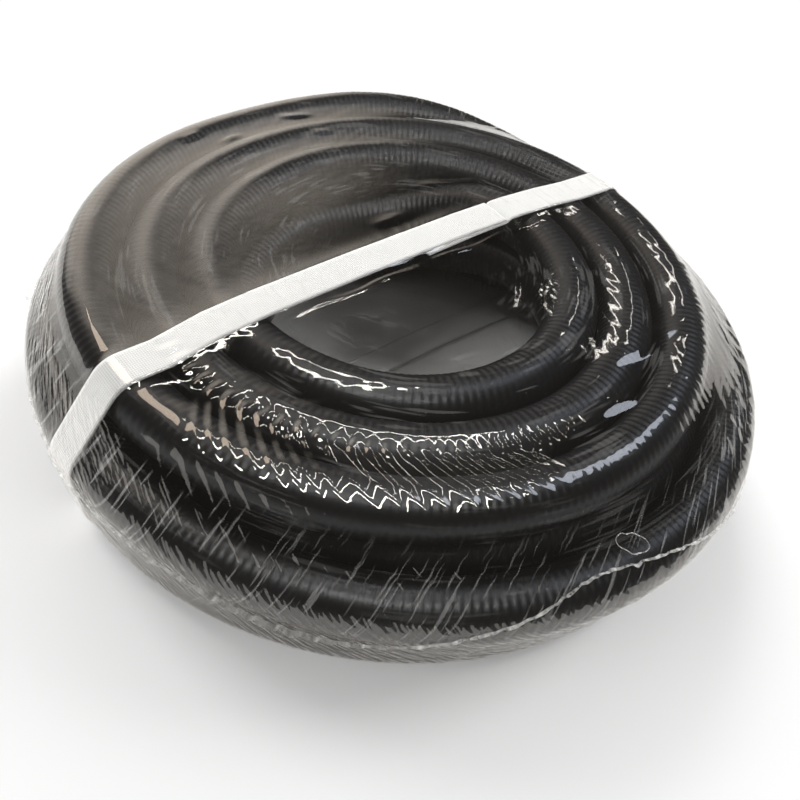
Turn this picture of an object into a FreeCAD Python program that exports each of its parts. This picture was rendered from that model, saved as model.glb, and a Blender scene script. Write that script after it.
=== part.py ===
import FreeCAD, Part
import math
import os
import Sketcher
from FreeCAD import Placement, Rotation, Vector

# A pool vacuum hose as it is sold: some 14 m of ribbed hose wound flat in three layers, tied with
# one webbing strap and wrapped in two sheets of shrink film. +Z is up, the origin is on the floor
# under the middle of the film, and all sizes are in millimetres and degrees.

# ---------------------------------------------------------------- driving dimensions
SIZES = (
    ("hose_od", 46, "hose, outside diameter over the ribs"),
    ("hose_bore", 38, "hose, bore (1 1/2 in)"),
    ("turn_pitch", 48, "from one turn to the next in a layer"),
    ("layer_pitch", 44, "from one layer to the next"),
    ("mid_radius", 294, "outermost turn of the middle layer, to the hose's centre line"),
    ("low_step", 8, "how much smaller the low layer's outermost turn is"),
    ("top_step", 42, "how much smaller the top layer's outermost turn is"),
    ("low_turns", 4, "turns in the low layer, the innermost of them part of a turn"),
    ("mid_turns", 4, "turns in the middle layer"),
    ("top_turns", 3, "turns in the top layer"),
    ("low_shift_x", -6, "the low layer lies this far along X from the middle layer"),
    ("top_shift_x", -16, "the top layer's outermost turn has slipped this far along X"),
    ("top_shift_y", 3, "and this far along Y"),
    ("top_creep_x", 2.5, "each further turn of the top layer lies this much back along X"),
    ("top_creep_y", -1.5, "and this much back along Y"),
    ("web_margin", 11, "how far the solid core reaches past the turns that lie on each other"),
    ("web_inset", 6, "height between the core's faces and the middles of the layers it joins"),
    ("inner_end_start", 150, "azimuth where the innermost low turn comes down, degrees"),
    ("seat_gap", 0.3, "gap between soft pieces that lie on each other"),
    ("strap_width", 30, "webbing width"),
    ("strap_thick", 1.3, "webbing thickness"),
    ("strap_azimuth", 48, "direction of the strap across the coil, degrees"),
    ("strap_offset", 14, "how far the strap's plane passes the coil's axis"),
    ("lap_length", 98, "length of the strap's welded lap"),
    ("lap_start", 11, "where the lap starts along the strap's top run"),
    ("lap_skew", 3, "how far the under end of the lap stands out sideways"),
    ("film_wall", 0.5, "film, drawn thicker than the real 0.1"),
    ("film_slack", 1.8, "extra room at the side between film and hose"),
    ("film_sink", 4, "how deep the top film sinks between two turns"),
    ("sink_reach", 20, "half the width of such a sunken ring"),
    ("hole_sink", 8, "how deep the top film sinks over the hole"),
    ("hole_reach", 118, "radius of that hollow"),
    ("tent_width", 42, "how wide the strap holds the top film up"),
    ("seam_height", 36, "height of the weld between the two films"),
    ("seam_fin", 1.5, "width of the films' welded rims"),
    ("rim_thick", 0.5, "thickness of each film's welded rim"),
    ("glue_gap", 0.15, "glue line between a cuff and the hose"),
    ("run_gap", 0.08, "running clearance of the swivel, radial"),
    ("end_gap", 0.3, "running clearance of the swivel, along its axis"),
    ("bay_gap", 1.3, "room left round a cuff in the coil"),
    ("mouth_bore", 38.2, "bore of both cuffs' mouths"),
    ("mouth_od", 49.6, "outside of both cuffs' mouths"),
    ("ring_wall", 1.84, "retaining ring, wall"),
    ("swivel_wall", 1.8, "swivel cuff's housing, wall"),
    ("swivel_length", 92, "swivel, from the sleeve's tail to the mouth"),
    ("swivel_inset", 6, "how far inside the outermost low turn the swivel's axis lies"),
    ("sleeve_wall", 2.05, "sleeve's wall on the hose"),
    ("sleeve_grip", 33, "length of hose inside the sleeve"),
    ("flange_thick", 3, "sleeve's flange"),
    ("ring_length", 10, "retaining ring, along the axis"),
    ("washer_thick", 2, "seal washer"),
    ("lip_length", 2, "housing behind the retaining ring"),
    ("shoulder_length", 4, "housing in front of the seal washer"),
    ("taper_length", 6, "taper from a cuff's body to its mouth"),
    ("cuff_od", 52.4, "fixed cuff's body, outside"),
    ("cuff_length", 80, "fixed cuff, from tail to mouth"),
    ("cuff_grip", 35, "length of hose inside the fixed cuff"),
    ("cuff_inset", 8, "how far inside the innermost low turn the fixed cuff's axis lies"),
    ("grip_ribs", 16, "grip ribs round each cuff"),
    ("rib_width", 2.4, "grip rib, width"),
    ("rib_height", 1.1, "grip rib, height"),
    ("rib_length", 26, "grip rib, length"),
    ("rib_setback", 6, "from the mouth's rim to the grip ribs"),
    ("tail_length", 24, "hose that shows behind the swivel before it joins its turn"),
    ("inner_tail", 6.5, "hose that shows behind the fixed cuff"),
    ("mouth_room", 4, "room left in front of a cuff's mouth"),
)

doc = FreeCAD.newDocument("vacuum_hose")
sheet = doc.addObject("Spreadsheet::Sheet", "Sizes")
for row, (alias, number, meaning) in enumerate(SIZES, start=1):
    sheet.set(f"A{row}", meaning)
    sheet.set(f"B{row}", str(number))
    sheet.setAlias(f"B{row}", alias)
doc.recompute()

# heights and radii that several pieces share, as expressions on the sheet
HOSE_R = "Sizes.hose_od / 2"
WRAP = "(Sizes.strap_thick + 2 * Sizes.seat_gap)"
LOW_Z = f"(Sizes.film_wall + {WRAP} + {HOSE_R})"
MID_Z = f"({LOW_Z} + Sizes.layer_pitch)"
TOP_Z = f"({MID_Z} + Sizes.layer_pitch)"
SLEEVE_R = f"({HOSE_R} + Sizes.glue_gap + Sizes.sleeve_wall)"
HOUSING_R = f"({SLEEVE_R} + 2 * Sizes.run_gap + Sizes.ring_wall)"
SWIVEL_R = f"({HOUSING_R} + Sizes.swivel_wall)"
SWIVEL_Z = f"(Sizes.film_wall + Sizes.seat_gap + {SWIVEL_R})"
CUFF_Z = "(Sizes.film_wall + Sizes.seat_gap + Sizes.cuff_od / 2)"
SWIVEL_X = "(Sizes.low_shift_x - Sizes.swivel_length / 2)"
CUFF_X = "(Sizes.low_shift_x - Sizes.cuff_length / 2)"
OUTERMOST = {
    "low": "(Sizes.mid_radius - Sizes.low_step)",
    "mid": "Sizes.mid_radius",
    "top": "(Sizes.mid_radius - Sizes.top_step)",
}
# the rings that the taut film is drawn through: on which turn, and how steeply the film faces up there
HULL_RINGS = (
    ("low", LOW_Z, (-90, -74, -58, -42, -26, -10)),
    ("mid", MID_Z, (-10, 0, 20, 40)),
    ("top", TOP_Z, (40, 57, 74, 90)),
)
MOUTH_R = "Sizes.mouth_bore / 2"
SWIVEL_Y = f"({OUTERMOST['low']} - Sizes.swivel_inset)"
CUFF_Y = f"(-({OUTERMOST['low']} - (Sizes.low_turns - 1) * Sizes.turn_pitch - Sizes.cuff_inset))"


def value(expression):
    """The number that an expression on the sheet has now."""
    return float(doc.Sizes.evalExpression(expression.replace("Sizes.", "")))


def bind(thing, **places):
    """Bind properties of a document object to expressions on the sheet."""
    for place, expression in places.items():
        thing.setExpression(place.replace("__", "."), expression)


def origin_plane(body, role):
    """One of a body's own origin planes or axes, by its role."""
    return next(part for part in body.Origin.OriginFeatures if part.Role == role)


def new_sketch(body, name, role="XZ_Plane"):
    sketch = body.newObject("Sketcher::SketchObject", name)
    sketch.AttachmentSupport = (origin_plane(body, role), [""])
    sketch.MapMode = "FlatFace"
    return sketch


def pin_point(sketch, geometry, position, x_expression, y_expression):
    """Hold a point of a sketch at expressions measured from the sketch's origin."""
    for kind, expression in (("DistanceX", x_expression), ("DistanceY", y_expression)):
        number = value(expression)
        if abs(number) < 1e-9:
            axis = -2 if kind == "DistanceX" else -1
            sketch.addConstraint(Sketcher.Constraint("PointOnObject", geometry, position, axis))
            continue
        ends = (-1, 1, geometry, position) if number > 0 else (geometry, position, -1, 1)
        index = sketch.addConstraint(Sketcher.Constraint(kind, *ends, abs(number)))
        sketch.setExpression(f"Constraints[{index}]", expression if number > 0 else f"-({expression})")


# ---------------------------------------------------------------- the wound hose
def turn(name, radius, height, shift_x="0", shift_y="0"):
    """One turn of the coil, as a ring of the hose's full diameter."""
    ring = doc.addObject("Part::Torus", name)
    bind(ring, Radius1=radius, Radius2=HOSE_R, Placement__Base__x=shift_x,
         Placement__Base__y=shift_y, Placement__Base__z=height)
    return ring


def turn_radius(layer, number):
    return f"({OUTERMOST[layer]} - {number} * Sizes.turn_pitch)"


def turn_shift(layer, number):
    """How far a turn's middle lies from the origin, along X and Y."""
    if layer == "top":
        return (f"(Sizes.top_shift_x + {number} * Sizes.top_creep_x)",
                f"(Sizes.top_shift_y + {number} * Sizes.top_creep_y)")
    return ("Sizes.low_shift_x" if layer == "low" else "0", "0")


def core(name, outer, inner, height, shift_x):
    """The ring that joins two layers of turns into one closed solid."""
    disc = doc.addObject("Part::Cylinder", name + "_disc")
    hole = doc.addObject("Part::Cylinder", name + "_hole")
    for round_piece, radius in ((disc, outer), (hole, inner)):
        bind(round_piece, Radius=radius, Height="Sizes.layer_pitch - 2 * Sizes.web_inset",
             Placement__Base__x=shift_x, Placement__Base__z=f"{height} + Sizes.web_inset")
    ring = doc.addObject("Part::Cut", name)
    ring.Base = disc
    ring.Tool = hole
    return ring


def bay(name, radius, start, length, seat_y, height):
    """A round bay along X that a cuff lies in."""
    rod = doc.addObject("Part::Cylinder", name)
    rod.Placement = Placement(Vector(), Rotation(Vector(0, 1, 0), 90))
    bind(rod, Radius=radius, Height=length, Placement__Base__x=start,
         Placement__Base__y=seat_y, Placement__Base__z=height)
    return rod


def cuff_bay(name, radius, start, length, seat_y, outward, turn_r, height):
    """The bay of a cuff, open outward so that its low turn stops at the bay's ends."""
    side = doc.addObject("Part::Box", name + "_side")
    reach = f"({turn_r} + {HOSE_R} + Sizes.bay_gap - abs({seat_y}))"
    bind(side, Length=length, Width=reach, Height=f"{LOW_Z} + {HOSE_R}", Placement__Base__x=start,
         Placement__Base__y=seat_y if outward > 0 else f"{seat_y} - {reach}")
    room = doc.addObject("Part::MultiFuse", name)
    room.Shapes = [bay(name + "_round", radius, start, length, seat_y, height), side]
    return room


def build_coil():
    pieces = []
    for layer, height in (("low", LOW_Z), ("mid", MID_Z), ("top", TOP_Z)):
        count = round(value(f"Sizes.{layer}_turns"))
        for number in range(count):
            ring = turn(f"{layer}_turn_{number + 1}", turn_radius(layer, number), height,
                        *turn_shift(layer, number))
            pieces.append(ring)
            if layer == "low" and number == count - 1:
                ring.Placement = Placement(Vector(), Rotation(Vector(0, 0, 1), 90))
                bind(ring, Angle3="270 - Sizes.inner_end_start",
                     Placement__Rotation__Angle="Sizes.inner_end_start")
            print(f"{ring.Name}: radius {value(turn_radius(layer, number)):.0f} mm, "
                  f"{value(turn_radius(layer, number)) / value('Sizes.hose_od'):.1f} hose diameters")
    inmost = {layer: turn_radius(layer, round(value(f"Sizes.{layer}_turns")) - 1)
              for layer in ("low", "mid", "top")}
    pieces.append(core("low_core",
                       f"({OUTERMOST['low']} + {OUTERMOST['mid']}) / 2 + Sizes.web_margin",
                       f"({inmost['low']} + {inmost['mid']}) / 2 - Sizes.web_margin",
                       LOW_Z, "Sizes.low_shift_x / 2"))
    pieces.append(core("top_core",
                       f"({turn_radius('mid', 1)} + {OUTERMOST['top']}) / 2 + Sizes.web_margin",
                       f"({inmost['mid']} + {inmost['top']}) / 2 - Sizes.web_margin",
                       MID_Z, "Sizes.top_shift_x / 2"))
    wound = doc.addObject("Part::MultiFuse", "wound_turns")
    wound.Shapes = pieces
    bays = doc.addObject("Part::MultiFuse", "cuff_bays")
    bays.Shapes = [
        cuff_bay("swivel_bay", f"{SWIVEL_R} + Sizes.bay_gap",
                 f"{SWIVEL_X} - Sizes.tail_length",
                 "Sizes.swivel_length + Sizes.tail_length + Sizes.mouth_room",
                 SWIVEL_Y, 1, turn_radius("low", 0), SWIVEL_Z),
        cuff_bay("fixed_bay", "Sizes.cuff_od / 2 + Sizes.bay_gap",
                 f"{CUFF_X} - Sizes.inner_tail",
                 "Sizes.cuff_length + Sizes.inner_tail + Sizes.mouth_room",
                 CUFF_Y, -1, inmost["low"], CUFF_Z),
    ]
    coil = doc.addObject("Part::Cut", "hose_coil")
    coil.Base = wound
    coil.Tool = bays
    return coil


def build_hose_end(name, start, length, seat_y, height):
    """A straight end of the hose, from its turn into its cuff."""
    wall = bay(name + "_wall", HOSE_R, start, length, seat_y, height)
    bore = bay(name + "_bore", "Sizes.hose_bore / 2", start, length, seat_y, height)
    tube = doc.addObject("Part::Cut", name)
    tube.Base = wall
    tube.Tool = bore
    return tube


# ---------------------------------------------------------------- cuffs
def turned_body(name, outline, seat_x, seat_y, height):
    """A piece turned about X. The outline is (along X, radius) from the piece's tail."""
    body = doc.addObject("PartDesign::Body", name)
    sketch = new_sketch(body, name + "_outline")
    corners = [Vector(value(along), value(radius), 0) for along, radius in outline]
    for number, corner in enumerate(corners):
        sketch.addGeometry(Part.LineSegment(corner, corners[(number + 1) % len(corners)]))
    for number in range(len(corners)):
        following = (number + 1) % len(corners)
        sketch.addConstraint(Sketcher.Constraint("Coincident", number, 2, following, 1))
    for number, (along, radius) in enumerate(outline):
        pin_point(sketch, number, 1, along, radius)
    turned = body.newObject("PartDesign::Revolution", name + "_turned")
    turned.Profile = (sketch, [""])
    turned.ReferenceAxis = (sketch, ["H_Axis"])
    turned.Angle = 360
    bind(body, Placement__Base__x=seat_x, Placement__Base__y=seat_y, Placement__Base__z=height)
    return body


def add_grip_ribs(body, length):
    """Ribs along the mouth for the fingers, the same all round."""
    name = body.Name
    sketch = new_sketch(body, name + "_rib", "XY_Plane")
    root = f"({MOUTH_R} + Sizes.mouth_od / 2) / 2"
    sketch.setExpression("AttachmentOffset.Base.z", root)
    rim = f"({length} - Sizes.rib_setback)"
    near, far = (f"({rim} - Sizes.rib_length)", "-Sizes.rib_width / 2"), (rim, "Sizes.rib_width / 2")
    corners = [(near[0], near[1]), (far[0], near[1]), (far[0], far[1]), (near[0], far[1])]
    spots = [Vector(value(x), value(y), 0) for x, y in corners]
    for number in range(4):
        sketch.addGeometry(Part.LineSegment(spots[number], spots[(number + 1) % 4]))
    for number in range(4):
        sketch.addConstraint(Sketcher.Constraint("Coincident", number, 2, (number + 1) % 4, 1))
        pin_point(sketch, number, 1, *corners[number])
    rib = body.newObject("PartDesign::Pad", name + "_rib_pad")
    rib.Profile = (sketch, [""])
    rib.setExpression("Length", f"Sizes.mouth_od / 2 + Sizes.rib_height - {root}")
    doc.recompute()
    ribs = body.newObject("PartDesign::PolarPattern", name + "_ribs")
    ribs.Originals = [rib]
    ribs.Axis = (origin_plane(body, "X_Axis"), [""])
    ribs.Angle = 360
    ribs.setExpression("Occurrences", "Sizes.grip_ribs")
    body.Tip = ribs


def build_swivel():
    """Sleeve on the hose, and the cuff, ring and washer that turn on it."""
    hose_seat = f"({HOSE_R} + Sizes.glue_gap)"
    flange_r = f"({HOUSING_R} - 2 * Sizes.run_gap)"
    flange_x = "(Sizes.sleeve_grip + Sizes.flange_thick)"
    tip_x = f"({flange_x} + Sizes.flange_thick)"
    ring_x = f"({flange_x} - Sizes.end_gap - Sizes.ring_length)"
    washer_x = f"({tip_x} + Sizes.end_gap)"
    shoulder_x = f"({washer_x} + Sizes.washer_thick + Sizes.end_gap)"
    nose_x = f"({shoulder_x} + Sizes.shoulder_length)"
    mouth_r = "Sizes.mouth_od / 2"
    seat = (SWIVEL_Y, SWIVEL_Z)
    sleeve = turned_body("swivel_sleeve", (
        ("0", hose_seat), ("Sizes.sleeve_grip", hose_seat), ("Sizes.sleeve_grip", MOUTH_R),
        (tip_x, MOUTH_R), (tip_x, flange_r), (flange_x, flange_r), (flange_x, SLEEVE_R),
        ("0", SLEEVE_R)), SWIVEL_X, *seat)
    ring = turned_body("swivel_ring", (
        ("0", f"{SLEEVE_R} + Sizes.run_gap"), ("Sizes.ring_length", f"{SLEEVE_R} + Sizes.run_gap"),
        ("Sizes.ring_length", f"{HOUSING_R} - Sizes.run_gap"),
        ("0", f"{HOUSING_R} - Sizes.run_gap")), f"{SWIVEL_X} + {ring_x}", *seat)
    washer = turned_body("swivel_washer", (
        ("0", f"{MOUTH_R} + Sizes.end_gap"), ("Sizes.washer_thick", f"{MOUTH_R} + Sizes.end_gap"),
        ("Sizes.washer_thick", flange_r), ("0", flange_r)), f"{SWIVEL_X} + {washer_x}", *seat)
    tail_x = f"({ring_x} - Sizes.lip_length)"
    reach = [f"({spot} - {tail_x})" for spot in (shoulder_x, nose_x)]
    length = f"(Sizes.swivel_length - {tail_x})"
    cuff = turned_body("swivel_cuff", (
        ("0", HOUSING_R), (reach[0], HOUSING_R), (reach[0], MOUTH_R), (length, MOUTH_R),
        (length, mouth_r), (f"({reach[1]} + Sizes.taper_length)", mouth_r),
        (reach[1], SWIVEL_R), ("0", SWIVEL_R)),
        f"{SWIVEL_X} + {tail_x}", *seat)
    add_grip_ribs(cuff, length)
    return [sleeve, ring, washer, cuff]


def build_fixed_cuff():
    hose_seat = f"({HOSE_R} + Sizes.glue_gap)"
    body_end = "(Sizes.cuff_grip + Sizes.shoulder_length)"
    cuff = turned_body("fixed_cuff", (
        ("0", hose_seat), ("Sizes.cuff_grip", hose_seat), ("Sizes.cuff_grip", MOUTH_R),
        ("Sizes.cuff_length", MOUTH_R), ("Sizes.cuff_length", "Sizes.mouth_od / 2"),
        (f"({body_end} + Sizes.taper_length)", "Sizes.mouth_od / 2"),
        (body_end, "Sizes.cuff_od / 2"), ("0", "Sizes.cuff_od / 2")),
        CUFF_X, CUFF_Y, CUFF_Z)
    add_grip_ribs(cuff, "Sizes.cuff_length")
    return cuff


# ---------------------------------------------------------------- strap and film
def taut_corners(corners):
    """The corners that a taut belt touches, which are those where it bends outwards."""
    kept = list(corners)
    while True:
        spots = [Vector(value(x), value(y), 0) for x, y in kept]
        slack = []
        for number, spot in enumerate(spots):
            before = spot - spots[number - 1]
            after = spots[(number + 1) % len(spots)] - spot
            if before.cross(after).z <= 0:
                slack.append(number)
        if not slack:
            return kept
        del kept[slack[0]]


def belt_sketch(body, name, corners, reach):
    """A belt round the corners at a distance: straight runs joined by tangent arcs.

    The corners run anticlockwise.
    """
    sketch = new_sketch(body, name)
    corners = taut_corners(corners)
    spots = [Vector(value(x), value(y), 0) for x, y in corners]
    radius = value(reach)
    count = len(spots)
    normals = []
    for number in range(count):
        along = (spots[(number + 1) % count] - spots[number]).normalize()
        normals.append(Vector(along.y, -along.x, 0))
    lines = [sketch.addGeometry(Part.LineSegment(
        spots[number] + normals[number] * radius,
        spots[(number + 1) % count] + normals[number] * radius)) for number in range(count)]
    for number, corner in enumerate(corners):
        before, after = normals[number - 1], normals[number]
        circle = Part.Circle(spots[number], Vector(0, 0, 1), radius)
        arc = sketch.addGeometry(Part.ArcOfCircle(circle, math.atan2(before.y, before.x),
                                                  math.atan2(after.y, after.x)))
        sketch.addConstraint(Sketcher.Constraint("Tangent", lines[number - 1], 2, arc, 1))
        sketch.addConstraint(Sketcher.Constraint("Tangent", arc, 2, lines[number], 1))
        pin_point(sketch, arc, 3, *corner)
        index = sketch.addConstraint(Sketcher.Constraint("Radius", arc, radius))
        sketch.setExpression(f"Constraints[{index}]", reach)
    return sketch


def in_strap_plane(x, y):
    """How far a point lies along the strap's direction, as an expression."""
    return f"({x} * cos(Sizes.strap_azimuth * 1deg) + {y} * sin(Sizes.strap_azimuth * 1deg))"


def place_in_strap_plane(thing, along="0", up="0", side="0"):
    """Turn a piece into the strap's plane and shift it along, up and sideways in it."""
    thing.Placement = Placement(Vector(), Rotation(Vector(0, 0, 1), value("Sizes.strap_azimuth")))
    cosine = "cos(Sizes.strap_azimuth * 1deg)"
    sine = "sin(Sizes.strap_azimuth * 1deg)"
    reach = f"(Sizes.strap_offset + {side})"
    bind(thing, Placement__Rotation__Angle="Sizes.strap_azimuth",
         Placement__Base__x=f"{along} * {cosine} - {reach} * {sine}",
         Placement__Base__y=f"{along} * {sine} + {reach} * {cosine}",
         Placement__Base__z=up)


def build_strap():
    """A band of webbing drawn tight round the coil, its ends welded in a lap on the top run."""
    spots = {layer: in_strap_plane(*turn_shift(layer, 0)) for layer in ("low", "mid", "top")}
    corners = [(f"{spots[layer]} + {OUTERMOST[layer]}", height)
               for layer, height in (("low", LOW_Z), ("mid", MID_Z), ("top", TOP_Z))]
    corners += [(f"{spots[layer]} - {OUTERMOST[layer]}", height)
                for layer, height in (("top", TOP_Z), ("mid", MID_Z), ("low", LOW_Z))]
    inside = f"({HOSE_R} + Sizes.seat_gap)"
    solids = []
    for name, reach in (("strap_outside", f"({inside} + Sizes.strap_thick)"), ("strap_inside", inside)):
        body = doc.addObject("PartDesign::Body", name)
        pad = body.newObject("PartDesign::Pad", name + "_pad")
        pad.Profile = (belt_sketch(body, name + "_belt", corners, reach), [""])
        pad.Midplane = True
        bind(pad, Length="Sizes.strap_width")
        body.Tip = pad
        place_in_strap_plane(body)
        solids.append(body)
    band = doc.addObject("Part::Cut", "strap_band")
    band.Base, band.Tool = solids
    lap = doc.addObject("Part::Box", "strap_lap")
    place_in_strap_plane(lap, "Sizes.lap_start", f"{TOP_Z} + {inside} - Sizes.strap_thick",
                         "-Sizes.strap_width / 2 - Sizes.lap_skew")
    bind(lap, Length="Sizes.lap_length", Width="Sizes.strap_width", Height="Sizes.strap_thick")
    strap = doc.addObject("Part::MultiFuse", "strap")
    strap.Shapes = [band, lap]
    return strap


def film_hull(name, reach):
    """The hull of the three layers at a distance from the outermost turns' centre lines."""
    rings = []
    for layer, height, angles in HULL_RINGS:
        shift_x, shift_y = turn_shift(layer, 0)
        for angle in angles:
            ring = doc.addObject("Part::Circle", f"{name}_ring_{len(rings) + 1}")
            bind(ring, Radius=f"{OUTERMOST[layer]} + Sizes.film_slack + {reach} * cos({angle} * 1deg)",
                 Placement__Base__x=shift_x, Placement__Base__y=shift_y,
                 Placement__Base__z=f"{height} + {reach} * sin({angle} * 1deg)")
            rings.append(ring)
    hull = doc.addObject("Part::Loft", name)
    hull.Sections = rings
    hull.Solid = True
    hull.Ruled = True
    return hull


def arch_radius(sink, reach):
    """Radius of the arc that sinks this deep in the middle of a span, half of which is reach."""
    return f"(({reach} ^ 2 + {sink} ^ 2) / (2 * {sink}))"


def film_sinks(name, crest, wall):
    """What the top film leaves free: hollows between the turns and over the hole, not at the strap.

    The outer face of the film is struck at the arcs' own radii, the inner one a wall further out.
    """
    ring_arc = arch_radius("Sizes.film_sink", "Sizes.sink_reach")
    hole_arc = arch_radius("Sizes.hole_sink", "Sizes.hole_reach")
    hollows = []
    for number in range(round(value("Sizes.top_turns")) - 1):
        hollow = doc.addObject("Part::Torus", f"{name}_{number + 1}")
        shift_x, shift_y = turn_shift("top", number)
        bind(hollow, Radius1=f"{turn_radius('top', number)} - Sizes.turn_pitch / 2",
             Radius2=f"{ring_arc} + {wall}", Placement__Base__x=shift_x, Placement__Base__y=shift_y,
             Placement__Base__z=f"{crest} - Sizes.film_sink + {ring_arc}")
        hollows.append(hollow)
    dish = doc.addObject("Part::Sphere", name + "_dish")
    shift_x, shift_y = turn_shift("top", round(value("Sizes.top_turns")) - 1)
    bind(dish, Radius=f"{hole_arc} + {wall}", Placement__Base__x=shift_x, Placement__Base__y=shift_y,
         Placement__Base__z=f"{crest} - Sizes.hole_sink + {hole_arc}")
    sunk = doc.addObject("Part::MultiFuse", name + "_all")
    sunk.Shapes = hollows + [dish]
    tent = doc.addObject("Part::Box", name + "_tent")
    width = f"(Sizes.tent_width - 2 * {wall})"
    place_in_strap_plane(tent, "-2 * Sizes.mid_radius", "0", f"-{width} / 2")
    bind(tent, Length="4 * Sizes.mid_radius", Width=width, Height=f"2 * {crest}")
    kept = doc.addObject("Part::Cut", name)
    kept.Base, kept.Tool = sunk, tent
    return kept


def build_film():
    """The two films. Each ends in a rim, and the rims are welded face to face."""
    inside = f"({HOSE_R} + {WRAP})"
    outside = f"({inside} + Sizes.film_wall)"
    crest = f"({TOP_Z} + {outside})"
    hulls = []
    for name, reach, wall in (("film_outside", outside, "0"), ("film_inside", inside, "Sizes.film_wall")):
        sunken = doc.addObject("Part::Cut", name)
        sunken.Base = film_hull(name + "_hull", reach)
        sunken.Tool = film_sinks(name + "_sinks", crest, wall)
        hulls.append(sunken)
    hulls.append(film_hull("film_rim_edge", f"({outside} + Sizes.seam_fin)"))
    shell = doc.addObject("Part::Cut", "film_shell")
    shell.Base, shell.Tool = hulls[:2]
    below = doc.addObject("Part::Cylinder", "below_seam")
    bind(below, Radius="2 * Sizes.mid_radius", Height="Sizes.seam_height")
    above_wall = doc.addObject("Part::Cut", "above_wall")
    above_wall.Base, above_wall.Tool = shell, below
    below_wall = doc.addObject("Part::Common", "below_wall")
    below_wall.Base, below_wall.Tool = shell, below
    films = []
    for name, wall, rim_z in (("film_top", above_wall, "Sizes.seam_height"),
                              ("film_bottom", below_wall, "Sizes.seam_height - Sizes.rim_thick")):
        slab = doc.addObject("Part::Cylinder", name + "_slab")
        bind(slab, Radius="2 * Sizes.mid_radius", Height="Sizes.rim_thick", Placement__Base__z=rim_z)
        disc = doc.addObject("Part::Common", name + "_disc")
        disc.Base, disc.Tool = hulls[2], slab
        rim = doc.addObject("Part::Cut", name + "_rim")
        rim.Base, rim.Tool = disc, hulls[1]
        film = doc.addObject("Part::MultiFuse", name)
        film.Shapes = [wall, rim]
        films.append(film)
    return films


# ---------------------------------------------------------------- build, check and write
nodes = [build_coil()]
nodes.append(build_hose_end("hose_outer_end", f"{SWIVEL_X} - Sizes.tail_length",
                            "Sizes.tail_length + Sizes.sleeve_grip - Sizes.glue_gap",
                            SWIVEL_Y, SWIVEL_Z))
nodes.append(build_hose_end("hose_inner_end", f"{CUFF_X} - Sizes.inner_tail",
                            "Sizes.inner_tail + Sizes.cuff_grip - Sizes.glue_gap",
                            CUFF_Y, CUFF_Z))
nodes.extend(build_swivel())
nodes.append(build_fixed_cuff())
nodes.append(build_strap())
nodes.extend(build_film())
doc.recompute()

for thing in doc.Objects:
    if "Invalid" in thing.State or "Error" in thing.State:
        raise RuntimeError(f"{thing.Name} did not build: {thing.State}")
for node in nodes:
    if node.Shape.isNull() or not node.Shape.isValid():
        raise RuntimeError(f"{node.Label} has no valid shape")

os.makedirs("parts", exist_ok=True)
for node in nodes:
    node.Shape.exportStep(f"parts/{node.Label}.step")
    box = node.Shape.optimalBoundingBox(False, False)
    print(f"{node.Label}: {len(node.Shape.Solids)} solid, {node.Shape.Volume / 1000:.1f} cm3, "
          f"x {box.XMin:.1f}..{box.XMax:.1f}, y {box.YMin:.1f}..{box.YMax:.1f}, "
          f"z {box.ZMin:.1f}..{box.ZMax:.1f}")
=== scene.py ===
# %% [markdown]
# # A pool vacuum hose in shrink film
# The object is 14.3 m of ribbed black hose, wound flat in three layers, tied with one white webbing
# strap and wrapped in clear shrink film: a top and a bottom sheet, welded together round the side.
# The frame brings the cuffs and says where everything lies. The hose, the strap and the film are
# modelled here, because they are soft.

# %% Load the frame
import math

import bmesh
import bpy
import numpy as np
from mathutils import Matrix, Vector


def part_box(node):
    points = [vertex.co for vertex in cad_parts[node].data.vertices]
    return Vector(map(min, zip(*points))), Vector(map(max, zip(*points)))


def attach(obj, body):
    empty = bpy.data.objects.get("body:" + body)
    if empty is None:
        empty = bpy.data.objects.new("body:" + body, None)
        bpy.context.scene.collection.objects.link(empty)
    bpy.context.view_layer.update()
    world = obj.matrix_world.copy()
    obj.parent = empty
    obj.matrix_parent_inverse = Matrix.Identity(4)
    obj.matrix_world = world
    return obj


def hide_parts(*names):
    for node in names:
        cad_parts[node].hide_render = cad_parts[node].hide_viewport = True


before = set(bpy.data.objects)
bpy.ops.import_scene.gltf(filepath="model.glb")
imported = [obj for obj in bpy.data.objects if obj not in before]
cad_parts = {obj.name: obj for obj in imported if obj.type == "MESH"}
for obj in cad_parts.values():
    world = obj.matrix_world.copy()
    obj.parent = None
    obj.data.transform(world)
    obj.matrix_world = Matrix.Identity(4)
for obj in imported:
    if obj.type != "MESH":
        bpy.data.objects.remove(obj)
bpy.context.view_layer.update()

MM = 0.001
COIL = "coil"  # the body that all but the swivel moves with

# %% [markdown]
# ## The camera
# It looks down on the coil from the front, a little rolled, so that the coil seems to tip.

# %% Camera
CAMERA_SPOT = Vector((5.0, -564.8, 547.8)) * MM
CAMERA_AIM = Vector((9.6, -97.6, 62.0)) * MM
CAMERA_ROLL = math.radians(11.7)
lens = bpy.data.cameras.new("camera")
lens.lens = 36.55
lens.sensor_width = 36.0
lens.clip_start = 0.01
camera = bpy.data.objects.new("camera", lens)
bpy.context.scene.collection.objects.link(camera)
look = (CAMERA_AIM - CAMERA_SPOT).to_track_quat("-Z", "Y").to_matrix().to_4x4()
look.translation = CAMERA_SPOT
camera.matrix_world = look @ Matrix.Rotation(CAMERA_ROLL, 4, "Z")
bpy.context.scene.camera = camera
print("camera", tuple(round(c, 3) for c in camera.location))

# %% [markdown]
# ## The hose's route
# The hose starts in its swivel at the back, winds inwards in the low layer, outwards in the middle
# layer and inwards again on top. Then it goes down inside the hole, to the fixed cuff. Each turn is
# a circle, and the hose steps from one circle to the next at the back. A line of steps says it all:
# from which azimuth to which, counted on from the start, and to what radius or height.

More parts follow.
